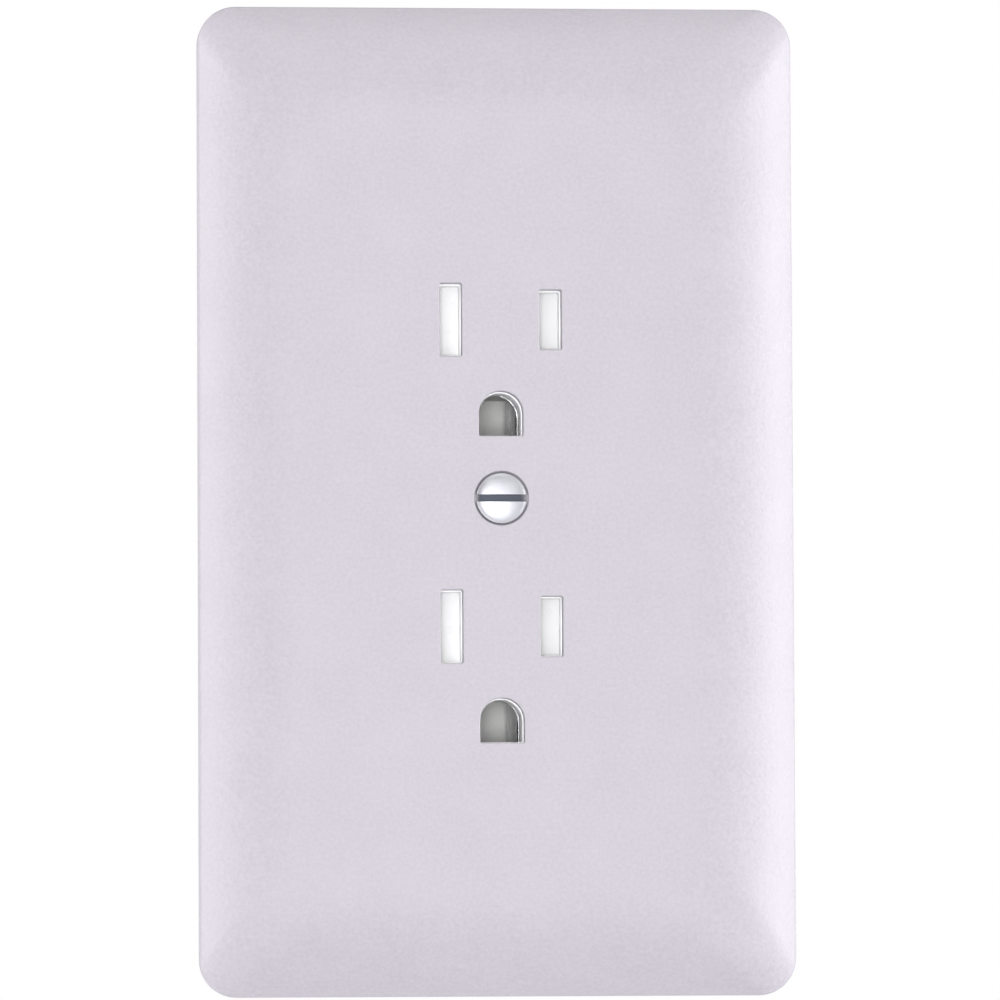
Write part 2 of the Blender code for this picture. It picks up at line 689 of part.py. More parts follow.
def make_back_housing(materials):
    outline = rounded_rectangle(BODY_WIDTH, BODY_HEIGHT, BODY_CORNER)
    housing = prism("back_housing", outline, "Y", (BACK_FRONT, BACK_END), materials["back"])
    front = BACK_FRONT - 1
    for pole, side in POLES.items():
        cut(housing, *strip_rooms(pole, side, front), *clamp_rooms(pole, side, front))
    for outlet in OUTLETS:
        cut(housing, *ground_rooms(outlet, front))
    cut(
        housing,
        *back_marks(),
        rod("collar_room", "Y", (0, 0), (front, COLLAR_BACK + 0.6), COLLAR_RADIUS + 0.5),
        rod("screw_room", "Y", (0, 0), (front, 11.0), 2.4),
        *rivet_holes("back", (front, BACK_END + 1)),
    )


# ---------------------------------------------------------------- strap and its fittings


def strap_quarter():
    """The strap's outline from the middle of its right side up to its top middle."""
    half, tab, ear, end = STRAP_WIDTH / 2, TAB_WIDTH / 2, EAR_WIDTH / 2, STRAP_LENGTH / 2
    slit = tab + EAR_SLIT
    corner = 2.0
    return [
        (half, 36.0),
        (tab, 38.0),
        (tab, EAR_BRIDGE[0]),
        (slit, EAR_BRIDGE[0]),
        (slit, EAR_START),
        *arc((ear - corner, EAR_START + corner), corner, -90, 0, 4),
        *arc((ear - corner, end - corner), corner, 0, 90, 4),
        (slit, end),
        (slit, EAR_BRIDGE[1]),
        (tab, EAR_BRIDGE[1]),
        *arc((tab - corner, end - 1.7 - corner), corner, 0, 90, 4),
    ]


def make_strap(materials):
    quarter = strap_quarter()
    top = quarter + [(-x, z) for x, z in reversed(quarter)]
    outline = top + [(-x, -z) for x, z in top]
    span = (-STRAP_THICKNESS, 0)
    strap = prism("mounting_strap", outline, "Y", span, materials["zinc"])
    through = (-STRAP_THICKNESS - 1, 1)
    tab = -TAB_WIDTH / 2
    cut(strap, block("lug_space", (-EAR_WIDTH / 2 - 1, tab - 0.01), through, (-44.5, -38.2)))
    lug_z = (LUG_Z - LUG_HALF, LUG_Z + LUG_HALF)
    sheet = (-STRAP_THICKNESS + 0.02, -0.02)
    join(
        strap,
        block("lug_root", (LUG_OUT + 0.1, tab + 1), sheet, (lug_z[0] + 0.1, -37)),
        block("lug", (LUG_OUT, LUG_IN), (-STRAP_THICKNESS + 0.01, LUG_DEPTH), lug_z),
        rod("collar", "Y", (0, 0), (-0.5, COLLAR_BACK), COLLAR_RADIUS),
    )
    lug_span = (LUG_OUT - 1, LUG_IN + 1)
    holes = [
        rod("plate_screw_hole", "Y", (0, 0), (through[0], COLLAR_BACK + 1), HOLE_RADIUS),
        rod("ground_screw_hole", "X", (GROUND_SCREW_Y, LUG_Z), lug_span, HOLE_RADIUS),
    ]
    for end in (-1, 1):
        centre = end * MOUNTING_PITCH / 2
        slot = [(x, z + centre) for x, z in rounded_rectangle(6.6, 3.9, 1.9)]
        holes.append(prism(f"mounting_slot_{end}", slot, "Y", through))
        for side in (-1, 1):
            spot = (side * EAR_HOLE_X, end * EAR_HOLE_Z)
            holes.append(rod(f"ear_hole_{end}_{side}", "Y", spot, through, EAR_HOLE_RADIUS, sides=16))
    for outlet in OUTLETS:
        row, ground = blade_row(outlet), ground_row(outlet)
        for side in (-1, 1):
            gap = rectangle((side * BLADE_PITCH / 2, row), 4.6, 11.4)
            holes.append(prism(f"blade_gap_{outlet}_{side}", gap, "Y", through))
        holes.append(prism(f"ground_gap_{outlet}", ground_hole(ground, 6.4), "Y", through))
        spot = (0, ground + GROUND_RIVET_RISE)
        holes.append(rod(f"rivet_hole_{outlet}", "Y", spot, through, GROUND_RIVET_HOLE, sides=16))
    cut(strap, *holes)


def make_ground_contacts(materials):
    """A foot riveted to the strap and two leaves that grip the ground pin."""
    across = (-FOOT_HALF_WIDTH, FOOT_HALF_WIDTH)
    inner = [(2.9, 0.5), (2.3, 9.0), (2.75, LEAF_END)]
    outer = [(3.25, LEAF_END), (2.8, 9.0), (3.5, 0.5)]
    for outlet in OUTLETS:
        row = ground_row(outlet)
        foot = (row - FOOT_BELOW, row + FOOT_ABOVE)
        name = f"ground_contact_{outlet}"
        contact = block(name, across, (CLEAR, FOOT_BACK), foot, materials["nickel"])
        tall = (row - LEAF_HALF_HEIGHT, row + LEAF_HALF_HEIGHT)
        for side in (-1, 1):
            leaf = [(side * x, y) for x, y in inner + outer]
            join(contact, prism(f"leaf_{outlet}_{side}", leaf, "Z", tall))
        spot = (0, row + GROUND_RIVET_RISE)
        cut(
            contact,
            prism(f"pin_hole_{outlet}", ground_hole(row, 5.7), "Y", (0, FOOT_BACK + 0.05)),
            rod(f"foot_rivet_hole_{outlet}", "Y", spot, (0, 2), GROUND_RIVET_HOLE, sides=16),
        )


def make_ground_rivets(materials):
    profile = [(0, 0.8), (1.2, 0.7), (1.9, 0.2), (1.9, 0), (1.2, 0), (1.2, -2.3), (0, -2.3)]
    rivet = settle(turned("ground_rivet_blank", profile, materials["nickel"], steps=16))
    spots = [
        (f"ground_rivet_{outlet}", (0, FOOT_BACK + FIT, ground_row(outlet) + GROUND_RIVET_RISE), (0, 1, 0))
        for outlet in OUTLETS
    ]
    copies(rivet, "ground_rivet", spots)


def make_screw_retainer(materials):
    """The fibre washer that keeps the upper mounting screw in its slot."""
    centre = MOUNTING_PITCH / 2
    washer = [(x, z + centre) for x, z in rounded_rectangle(RETAINER_SIDE, RETAINER_SIDE, 1.2, 3)]
    span = (CLEAR, CLEAR + RETAINER_THICKNESS)
    retainer = prism("screw_retainer", washer, "Y", span, materials["fibre"])
    cut(retainer, rod("retainer_hole", "Y", (0, centre), (0, 2), HOLE_RADIUS))


def make_grounding_clip(materials):
    """The brass spring on the lower mounting screw, which grounds the strap to a metal box."""
    centre = -MOUNTING_PITCH / 2
    right = [(5.5, CLEAR), (5.5, 0.65), (2.5, CLIP_END), (2.1, CLIP_END), (4.9, 0.75)]
    outline = right + [(-x, y) for x, y in reversed(right)]
    tall = (centre - CLIP_HALF_HEIGHT, centre + CLIP_HALF_HEIGHT)
    clip = prism("grounding_clip", outline, "Z", tall, materials["brass"])
    cut(clip, rod("clip_hole", "Y", (0, centre), (0, 2), HOLE_RADIUS))


# ---------------------------------------------------------------- contacts


def jaw_outline():
    """The double leaf that grips a blade, seen along Z: a U open to the front, with a flared mouth."""
    middle, inner, outer = BLADE_PITCH / 2, JAW_GAP / 2, JAW_GAP / 2 + JAW_SHEET
    throat = JAW_FRONT + 1.6
    inside = [
        (inner + JAW_FLARE, JAW_FRONT),
        (inner, throat),
        (inner + JAW_BULGE, JAW_BULGE_Y),
        (inner + 0.1, WEB_FRONT + 0.1),
    ]
    outside = [
        (outer + JAW_FLARE, JAW_FRONT),
        (outer, throat),
        (outer + JAW_BULGE, JAW_BULGE_Y),
        (outer + 0.1, WEB_BACK - 0.05),
    ]
    right = outside + [(-x, y) for x, y in reversed(outside)]
    left = [(-x, y) for x, y in inside] + inside[::-1]
    return [(middle + x, y) for x, y in right + left]


def make_contact_strips(materials):
    for pole, side in POLES.items():
        spans = [([side * end for end in x], y, z) for x, y, z in strip_spans(pole)]
        strip = block(f"{pole}_contact_strip", *spans[0], materials["brass"])
        pieces = [block(f"{pole}_strip_{i}", *span) for i, span in enumerate(spans[1:])]
        half = JAW_HALF_HEIGHT[pole] - 0.1
        for outlet in OUTLETS:
            row = blade_row(outlet)
            outline = [(side * u, v) for u, v in jaw_outline()]
            pieces.append(prism(f"{pole}_jaw_{outlet}", outline, "Z", (row - half, row + half)))
        across = (side * (BUS_OUT - 0.3), side * FIN_OUT)
        fin = block(f"{pole}_fin", across, FIN_Y, (-FIN_HALF, FIN_HALF))
        join(strip, *pieces, fin)
        through = (side * (BUS_IN - 1), side * (BUS_OUT + 1))
        for end in (-1, 1):
            spot = (TERMINAL_Y, end * TERMINAL_Z)
            cut(strip, rod(f"{pole}_screw_hole_{end}", "X", spot, through, SCREW_RADIUS + 0.35))
        notches = ((BUS_FRONT - 1, NOTCH_ENDS[0]), (NOTCH_ENDS[1], BUS_BACK + 1))
        for i, span in enumerate(notches):
            cut(strip, block(f"{pole}_notch_{i}", through, span, (-NOTCH_HALF, NOTCH_HALF)))


def make_clamps(materials):
    """Threaded plates behind each terminal, which trap a wire against the strip."""
    for pole, side in POLES.items():
        for end, sign in (("top", 1), ("bottom", -1)):
            middle = sign * TERMINAL_Z
            clamp = block(
                f"wire_clamp_{pole}_{end}",
                (side * CLAMP_IN, side * CLAMP_OUT),
                (TERMINAL_Y - CLAMP_HALF_Y, TERMINAL_Y + CLAMP_HALF_Y),
                (middle - CLAMP_HALF_Z, middle + CLAMP_HALF_Z),
                materials["nickel"],
            )
            span = (side * (CLAMP_IN - 1), side * (CLAMP_OUT + 1))
            cut(clamp, rod(f"clamp_hole_{pole}_{end}", "X", (TERMINAL_Y, middle), span, HOLE_RADIUS))


# ---------------------------------------------------------------- shutters


def shutter_edges():
    """X of the left bar's ends, of each web's ends and of the right bar's end, at rest."""
    reach = SHUTTER_TRAVEL / 2
    neutral, hot = -BLADE_PITCH / 2, BLADE_PITCH / 2
    left_window = (neutral - reach - SHUTTER_TRAVEL, neutral - reach)
    right_window = (hot - reach - SHUTTER_TRAVEL, hot - reach)
    return left_window, right_window, left_window[0] - 1.0, hot + reach + 0.8


def make_shutters(materials):
    """One slider per outlet. Its webs close the blade slots, and their ramps turn a push into a slide."""
    left_window, right_window, left_end, right_end = shutter_edges()
    toe = SHUTTER_BACK - RAMP_TOE
    neutral_top, hot_top = left_window[1] + SHUTTER_TRAVEL, right_window[1] + SHUTTER_TRAVEL
    humps = (
        [(left_window[1], SHUTTER_BACK), (left_window[1], toe), (neutral_top, SHUTTER_FRONT)]
        + [(right_window[0], SHUTTER_FRONT), (right_window[0], SHUTTER_BACK)],
        [(right_window[1], SHUTTER_BACK), (right_window[1], toe), (hot_top, SHUTTER_FRONT)]
        + [(right_end - 0.02, SHUTTER_FRONT), (right_end - 0.02, SHUTTER_BACK)],
    )
    for outlet in OUTLETS:
        row = blade_row(outlet)
        shutter = block(
            f"shutter_{outlet}",
            (left_end, right_end),
            (SHUTTER_FRAME_FRONT, SHUTTER_BACK + 0.01),
            (row - SHUTTER_HALF_HEIGHT, row + SHUTTER_HALF_HEIGHT),
            materials["shutter"],
        )
        span = (row - SHUTTER_WINDOW_HALF, row + SHUTTER_WINDOW_HALF)
        deep = (SHUTTER_FRONT - 1, SHUTTER_BACK + 1)
        for i, window in enumerate((left_window, right_window)):
            cut(shutter, block(f"shutter_window_{outlet}_{i}", window, deep, span))
        for i, outline in enumerate(humps):
            join(shutter, prism(f"ramp_{outlet}_{i}", outline, "Z", (span[0] - 0.1, span[1] + 0.1)))


def make_shutter_trays(materials):
    """The floor each shutter slides on, with its guides and the collar round the ground hole."""
    for outlet, middle in OUTLETS.items():
        row, ground = blade_row(outlet), ground_row(outlet)
        outline = outlet_face(middle, FACE_RADIUS - 1.9, FACE_HALF_HEIGHT - 1.9)
        tray = prism(f"shutter_tray_{outlet}", outline, "Y", (TRAY_FRONT, TRAY_BACK), materials["shutter"])
        guide = SHUTTER_HALF_HEIGHT + CLEAR
        span = (SHUTTER_FRONT - 0.1, TRAY_FRONT + 0.3)
        join(
            tray,
            block(f"guide_upper_{outlet}", (-11.2, 11.2), span, (row + guide, row + guide + 1.0)),
            block(f"guide_lower_{outlet}", (-13.6, 13.6), span, (row - guide - 1.0, row - guide)),
            rod(f"pin_collar_{outlet}", "Y", (0, ground), (span[0], span[1] + 0.02), 3.75),
        )
        through = (SHUTTER_FRONT - 1, 0)
        cut(tray, prism(f"pin_way_{outlet}", ground_hole(ground, 5.5), "Y", through))
        for side in (-1, 1):
            way = rectangle((side * BLADE_PITCH / 2, row), 2.9, 9.4)
            cut(tray, prism(f"blade_way_{outlet}_{side}", way, "Y", through))


def make_shutter_springs(materials):
    """A coil between each shutter's right end and the housing's wall, its axis along X."""
    start = shutter_edges()[3] + SPRING_WIRE + 0.12
    end = 14.75 - SPRING_WIRE
    depth = (SHUTTER_FRONT + SHUTTER_BACK) / 2
    per_turn = 12
    count = int(SPRING_TURNS * per_turn)
    for outlet in OUTLETS:
        curve = bpy.data.curves.new(f"shutter_spring_{outlet}", "CURVE")
        curve.dimensions = "3D"
        curve.bevel_depth = SPRING_WIRE * MM
        curve.bevel_resolution = 2
        curve.use_fill_caps = True
        spline = curve.splines.new("POLY")
        spline.points.add(count)
        for i, point in enumerate(spline.points):
            turn = 2 * math.pi * i / per_turn
            x = start + (end - start) * i / count
            y, z = SPRING_RADIUS * math.cos(turn), SPRING_RADIUS * math.sin(turn)
            point.co = (x * MM, y * MM, z * MM, 1)
        spring = place(f"shutter_spring_{outlet}", curve, materials["spring"])
        spring.location = Vector((0, depth, blade_row(outlet))) * MM


# ---------------------------------------------------------------- the whole


def smooth(obj):
    if obj.type == "MESH":
        obj.data.shade_smooth()
        obj.data.set_sharp_from_angle(angle=math.radians(30))


def main():
    for obj in list(bpy.data.objects):
        bpy.data.objects.remove(obj)
    for collection in (PARTS, CUTTERS):
        bpy.context.scene.collection.children.link(collection)
    materials = make_materials()
    make_wall_plate(materials)
    make_plate_screw(materials)
    make_front_housing(materials)
    make_shutters(materials)
    make_shutter_springs(materials)
    make_shutter_trays(materials)
    make_strap(materials)
    make_ground_contacts(materials)
    make_ground_rivets(materials)
    make_ground_screw(materials)
    make_contact_strips(materials)
    make_clamps(materials)
    make_terminal_screws(materials)
    make_back_housing(materials)
    make_housing_rivets(materials)
    make_mounting_screws(materials)
    make_screw_retainer(materials)
    make_grounding_clip(materials)
    for obj in PARTS.objects:
        smooth(obj)


main()
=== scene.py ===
"""Looks of the duplex wall outlet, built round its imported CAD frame.

The plate, the screws, the rivets and the springs are made again here at full detail. The other pieces take
their shape from the CAD and get the rounded edges and the surfaces of the real materials.
"""

import json
import math

import bmesh
import bpy
from mathutils import Matrix, Vector

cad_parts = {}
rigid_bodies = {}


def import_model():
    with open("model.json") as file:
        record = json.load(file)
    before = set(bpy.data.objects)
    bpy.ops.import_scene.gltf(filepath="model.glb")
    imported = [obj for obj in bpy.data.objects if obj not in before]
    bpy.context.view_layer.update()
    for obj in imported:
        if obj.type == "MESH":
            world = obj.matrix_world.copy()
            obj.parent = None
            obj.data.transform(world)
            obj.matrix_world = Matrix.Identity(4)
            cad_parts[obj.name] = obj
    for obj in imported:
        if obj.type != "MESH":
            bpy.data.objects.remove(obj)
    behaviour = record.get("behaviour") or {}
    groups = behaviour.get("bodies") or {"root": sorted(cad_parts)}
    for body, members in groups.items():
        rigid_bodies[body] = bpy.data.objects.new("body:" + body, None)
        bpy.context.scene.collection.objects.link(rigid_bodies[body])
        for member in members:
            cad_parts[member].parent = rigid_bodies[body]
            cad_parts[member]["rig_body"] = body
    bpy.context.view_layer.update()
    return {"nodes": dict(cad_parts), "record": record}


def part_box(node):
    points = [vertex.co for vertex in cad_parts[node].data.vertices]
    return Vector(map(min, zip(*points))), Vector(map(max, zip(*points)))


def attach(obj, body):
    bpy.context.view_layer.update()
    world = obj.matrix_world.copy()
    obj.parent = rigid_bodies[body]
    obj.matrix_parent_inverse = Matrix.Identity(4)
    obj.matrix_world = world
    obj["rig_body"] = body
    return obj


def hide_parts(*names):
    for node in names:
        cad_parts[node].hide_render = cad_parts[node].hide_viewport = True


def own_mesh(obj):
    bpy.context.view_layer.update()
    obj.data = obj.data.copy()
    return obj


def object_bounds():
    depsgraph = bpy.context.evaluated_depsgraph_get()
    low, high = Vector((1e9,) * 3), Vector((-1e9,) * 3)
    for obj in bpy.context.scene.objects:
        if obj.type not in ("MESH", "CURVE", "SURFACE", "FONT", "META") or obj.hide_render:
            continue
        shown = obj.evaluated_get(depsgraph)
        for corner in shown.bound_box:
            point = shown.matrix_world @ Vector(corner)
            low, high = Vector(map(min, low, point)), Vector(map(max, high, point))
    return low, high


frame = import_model()

MM = 0.001
SMOOTH = math.radians(32)

# The cover plate's form, as in the CAD.
PLATE_WALL = 1.8
PLATE_CORNER = 4.8
CROWN_WIDTH, CROWN_ANGLE, CROWN_CORNER = 14.0, math.radians(45), 8.0
RIM_FILLET = 1.0
RIB_HALF_WIDTH, RIB_HALF_HEIGHT, RIB_THICKNESS = 21.0, 36.0, 1.2
BOSS_RADIUS, SCREW_MOUTH, SCREW_CLEARANCE = 4.3, 3.4, 1.98
SLOT_WIDTH, SLOT_HEIGHT = 2.85, {"hot": 7.6, "neutral": 9.25}
GROUND_WIDTH, GROUND_DROP = 5.65, 11.9
BLADE_PITCH, BLADE_ROWS = 12.7, {"top": 22.65, "bottom": -16.25}
POLES = {"hot": 1, "neutral": -1}

# 6-32 threads, on every screw.
THREAD_RADIUS, THREAD_PITCH, THREAD_DEPTH = 1.75, 0.794, 0.42
COUNTERSINK = math.radians(41)

# Screws, in millimetres: the head's radius and height, the shank's length below the seat, and the driver
# slot's width and depth.
PLATE_SCREW = (3.2, 0.4414, 17.5, 0.92, 1.1)
MOUNTING_SCREW = (3.5, 2.1, 23.0, 1.1, 1.2)
TERMINAL_SCREW = (3.7, 2.2, 4.65, 1.1, 1.2)
GROUND_SCREW = (3.6, 2.3, 5.2, 1.1, 1.2)

# Rivets: the head's radius and rise, and the stem's radius.
HOUSING_RIVET = (1.75, 0.7, 1.15)
GROUND_RIVET = (1.9, 0.8, 1.2)
GROUND_RIVET_STEM, GROUND_RIVET_CHAMFER = 2.3, 0.1

# The shutter springs: wire radius, turns, and closed turns at each end.
SPRING_WIRE, SPRING_TURNS, SPRING_DEAD_TURNS = 0.17, 6.5, 1.0

SLOTS = {s["node"]: s["material_slot"] for s in frame["record"]["subparts"]}


# ---------------------------------------------------------------- materials


class Nodes:
    """A short way to write a material's node tree."""

    def __init__(self, name):
        self.material = bpy.data.materials.new(name)
        self.material.use_nodes = True
        self.tree = self.material.node_tree
        self.shader = self.tree.nodes["Principled BSDF"]
        self.position = self.add("ShaderNodeTexCoord").outputs["Object"]

    def add(self, kind, **values):
        node = self.tree.nodes.new(kind)
        for key, value in values.items():
            if hasattr(node, key):
                setattr(node, key, value)
            else:
                node.inputs[key.replace("_", " ")].default_value = value
        return node

    def link(self, source, target):
        self.tree.links.new(source, target)

    def set(self, **values):
        for key, value in values.items():
            self.shader.inputs[key.replace("_", " ")].default_value = value

    def noise(self, size_mm, detail=4.0, roughness=0.5, stretch=(1, 1, 1)):
        """A noise whose features are about size_mm across, longer along an axis whose stretch is small."""
        mapping = self.add("ShaderNodeMapping")
        mapping.inputs["Scale"].default_value = stretch
        self.link(self.position, mapping.inputs["Vector"])
        noise = self.add("ShaderNodeTexNoise", Scale=1000.0 / size_mm, Detail=detail, Roughness=roughness)
        self.link(mapping.outputs["Vector"], noise.inputs["Vector"])
        return noise.outputs["Fac"]

    def remap(self, source, low, high, start=0.3, end=0.7):
        node = self.add("ShaderNodeMapRange")
        for key, value in (("From Min", start), ("From Max", end), ("To Min", low), ("To Max", high)):
            node.inputs[key].default_value = value
        self.link(source, node.inputs["Value"])
        return node.outputs["Result"]

    def blend(self, factor, first, second):
        """Mixes two colours, each a socket or (r, g, b)."""
        node = self.add("ShaderNodeMix", data_type="RGBA")
        self.link(factor, node.inputs["Factor"])
        for key, value in (("A", first), ("B", second)):
            socket = [s for s in node.inputs if s.name == key and s.type == "RGBA"][0]
            if isinstance(value, tuple):
                socket.default_value = (*value, 1)
            else:
                self.link(value, socket)
        return [s for s in node.outputs if s.type == "RGBA"][0]

    def bump(self, height, depth_mm, under=None):
        node = self.add("ShaderNodeBump", Strength=1.0, Distance=depth_mm * MM)
        self.link(height, node.inputs["Height"])
        if under:
            self.link(under, node.inputs["Normal"])
        return node.outputs["Normal"]

    def wear(self, amount=0.5):
        """The amount on edges that stand out, 0 elsewhere."""
        pointiness = self.add("ShaderNodeNewGeometry").outputs["Pointiness"]
        return self.remap(pointiness, 0.0, amount, 0.53, 0.6)

    def finish(self, colour=None, roughness=None, normal=None):
        for key, source in (("Base Color", colour), ("Roughness", roughness), ("Normal", normal)):
            if source:
                self.link(source, self.shader.inputs[key])
        return self.material


def textured_plate():
    """Satin powder-like paint over moulded plastic: a fine, even orange peel with a soft larger mottle.

    The colours are darker than the record's. They were set together with LIGHTS, which are strong enough to
    turn the openings white.
    """
    n = Nodes("textured_plate")
    n.set(Metallic=0.0, IOR=1.46, Specular_IOR_Level=0.5)
    mottle = n.noise(9.0, 3.0)
    grain = n.noise(0.5, 3.0, 0.55)
    base = n.blend(n.remap(mottle, 0.0, 1.0), (0.262, 0.246, 0.275), (0.275, 0.259, 0.287))
    colour = n.blend(n.remap(grain, 0.0, 0.45), base, (0.335, 0.321, 0.352))
    roughness = n.remap(grain, 0.42, 0.6)
    peel = n.bump(n.noise(0.75, 2.0, 0.5), 0.06)
    fine = n.bump(n.noise(0.3, 3.0, 0.6), 0.025, under=peel)
    return n.finish(colour, roughness, fine)


def moulded_plastic(name, light, dark, gloss, grain_mm, depth_mm):
    """Injection-moulded plastic, with a faint flow mottle and edges that are rubbed a little paler."""
    n = Nodes(name)
    n.set(IOR=1.5)
    mottle = n.noise(6.0, 4.0, 0.6)
    colour = n.blend(n.remap(mottle, 0.0, 1.0), dark, light)
    colour = n.blend(n.wear(0.35), colour, tuple(min(1.0, c * 1.08) for c in light))
    roughness = n.remap(n.noise(2.2, 5.0, 0.6), gloss - 0.06, gloss + 0.08)
    normal = n.bump(n.noise(grain_mm, 3.0, 0.6), depth_mm)
    return n.finish(colour, roughness, normal)


def plated_metal(name, light, dark, gloss, stretch=(1, 1, 0.12), depth_mm=0.006):
    """Plated or bare metal, with rolling marks, cloudy patches and brighter, worn edges. It also makes the
    painted shade in the screws' driver slots.
    """
    n = Nodes(name)
    n.set(Metallic=1.0)
    cloud = n.noise(3.5, 5.0, 0.65)
    marks = n.noise(0.25, 3.0, 0.5, stretch)
    colour = n.blend(n.remap(cloud, 0.0, 1.0), dark, light)
    colour = n.blend(n.wear(0.5), colour, tuple(min(1.0, c * 1.15) for c in light))
    roughness = n.remap(cloud, gloss - 0.08, gloss + 0.12)
    normal = n.bump(marks, depth_mm)
    return n.finish(colour, roughness, normal)


def fibre_board():
    n = Nodes("fibre")
    fibres = n.noise(0.35, 5.0, 0.7, (1, 1, 0.25))
    colour = n.blend(n.remap(fibres, 0.0, 1.0), (0.33, 0.25, 0.16), (0.50, 0.41, 0.28))
    return n.finish(colour, n.remap(fibres, 0.75, 0.95), n.bump(fibres, 0.05))


# Lighter and darker colour, roughness, and the grain's size and depth in millimetres.
PLASTICS = {
    "plate_inside": ((0.60, 0.58, 0.62), (0.56, 0.54, 0.58), 0.5, 0.6, 0.02),
    "white_plastic": ((0.93, 0.93, 0.94), (0.90, 0.90, 0.91), 0.34, 0.5, 0.006),
    "back_plastic": ((0.66, 0.66, 0.65), (0.62, 0.62, 0.61), 0.45, 0.35, 0.03),
    "shutter_plastic": ((0.95, 0.95, 0.96), (0.92, 0.92, 0.93), 0.3, 0.5, 0.005),
}

# Lighter and darker colour and roughness. Machined and dyed metals, and the painted slot shade, have no
# rolling direction.
EVEN = (1, 1, 1)
METALS = {
    "zinc_steel": ((0.58, 0.60, 0.63), (0.47, 0.49, 0.53), 0.32),
    "screw_zinc": ((0.36, 0.36, 0.385), (0.32, 0.32, 0.345), 0.42, EVEN, 0.012),
    # Painted shade: a dark colour for the zinc screws' driver slots, where shade falls. The screws' own metal
    # is screw_zinc.
    "slot_dark": ((0.11, 0.12, 0.145), (0.07, 0.078, 0.095), 0.6, EVEN),
    "nickel": ((0.74, 0.74, 0.75), (0.64, 0.64, 0.66), 0.28),
    "brass": ((0.83, 0.62, 0.30), (0.72, 0.51, 0.22), 0.3),
    "green_steel": ((0.10, 0.40, 0.19), (0.06, 0.28, 0.12), 0.32, EVEN),
    "spring_steel": ((0.62, 0.63, 0.66), (0.50, 0.51, 0.54), 0.3),
}


def make_materials():
    made = {"textured_plate": textured_plate(), "fibre": fibre_board()}
    made |= {name: moulded_plastic(name, *look) for name, look in PLASTICS.items()}
    made |= {name: plated_metal(name, *look) for name, look in METALS.items()}
    return made


# ---------------------------------------------------------------- outlines and solids


def arc(centre, radius, start, end, steps):
    turn = [math.radians(start + (end - start) * i / steps) for i in range(steps + 1)]
    return [(centre[0] + radius * math.cos(a), centre[1] + radius * math.sin(a)) for a in turn]


def rounded_rectangle(width, height, radius, steps=20):
    """Counter-clockwise from the right side."""
    u, v = width / 2 - radius, height / 2 - radius
    points = []
    for x, z, angle in ((u, v, 0), (-u, v, 90), (-u, -v, 180), (u, -v, 270)):
        points += arc((x, z), radius, angle, angle + 90, steps)
    return points


def ground_hole(centre_z, radius, corner=0.25):
    """Round above and flat below, with small corner radii at the foot."""
    foot = centre_z - radius
    points = arc((0, centre_z), radius, 0, 180, 28)
    points += arc((-radius + corner, foot + corner), corner, 180, 270, 5)
    points += arc((radius - corner, foot + corner), corner, 270, 360, 5)
    return points


def new_object(name, mesh, material=None):
    obj = bpy.data.objects.new(name, mesh)
    bpy.context.scene.collection.objects.link(obj)
    if material:
        mesh.materials.clear()
        mesh.materials.append(material)
    return obj


def from_bmesh(name, bm, material=None):
    bmesh.ops.recalc_face_normals(bm, faces=bm.faces)
    mesh = bpy.data.meshes.new(name)
    bm.to_mesh(mesh)
    bm.free()
    return new_object(name, mesh, material)


def skin(bm, rings):
    """Joins each ring of vertices to the next with a band of quads."""
    for lower, upper in zip(rings, rings[1:]):
        for i in range(len(lower)):
            j = (i + 1) % len(lower)
            bm.faces.new((lower[i], lower[j], upper[j], upper[i]))


def fan(bm, tip, ring):
    """Closes a ring of vertices with triangles that meet at a vertex on its axis."""
    for i in range(len(ring)):
        bm.faces.new((tip, ring[i], ring[(i + 1) % len(ring)]))


def loft(name, rings):
    """A closed solid through rings of equal length, given as points in millimetres."""
    bm = bmesh.new()
    made = [[bm.verts.new(Vector(p) * MM) for p in ring] for ring in rings]
    skin(bm, made)
    bm.faces.new(made[0])
    bm.faces.new(made[-1])
    return from_bmesh(name, bm)


def box(name, x, y, z):
    rings = [[(u, v, w) for u, v in ((x[0], y[0]), (x[1], y[0]), (x[1], y[1]), (x[0], y[1]))] for w in z]
    return loft(name, rings)


def rounded_cutter(name, outline, front, back, lip=0.22, steps=4):
    """A cutter along Y whose mouth opens out on a small radius. outline(grow) gives the section."""
    rings = [[(x, back, z) for x, z in outline(0)]]
    for i in range(steps + 1):
        turn = math.pi / 2 * i / steps
        grow, depth = lip * (1 - math.cos(turn)), lip * (1 - math.sin(turn))
        rings.append([(x, front + depth, z) for x, z in outline(grow)])
    rings.append([(x, front - 1, z) for x, z in outline(lip)])
    return loft(name, rings)


def boolean(obj, operation, others):
    for other in others:
        modifier = obj.modifiers.new("boolean", "BOOLEAN")
        modifier.operation = operation
        modifier.object = other
        modifier.material_mode = "TRANSFER"
    bake_modifiers(obj)
    for other in others:
        bpy.data.objects.remove(other)
    return obj


def bake_modifiers(obj):
    graph = bpy.context.evaluated_depsgraph_get()
    graph.update()
    mesh = bpy.data.meshes.new_from_object(obj.evaluated_get(graph))
    obj.modifiers.clear()
    obj.data = mesh


def shade(obj, angle=SMOOTH):
    obj.data.shade_smooth()
    obj.data.set_sharp_from_angle(angle=angle)
    return obj


def round_edges(obj, width_mm, segments=2, angle=math.radians(38)):
    """Small rounded edges with even shading, as a mould or a press leaves them."""
    bevel = obj.modifiers.new("edges", "BEVEL")
    bevel.width = width_mm * MM
    bevel.segments = segments
    bevel.limit_method = "ANGLE"
    bevel.angle_limit = angle
    bevel.use_clamp_overlap = False
    bevel.loop_slide = False
    bake_modifiers(obj)
    shade(obj, math.radians(40))
    weigh_normals(obj)


def weigh_normals(obj):
    """Lets the large faces set the shading, so that flats stay flat between rounded edges."""
    weighted = obj.modifiers.new("shading", "WEIGHTED_NORMAL")
    weighted.keep_sharp = True
    weighted.weight = 80
    bake_modifiers(obj)


# ---------------------------------------------------------------- pieces


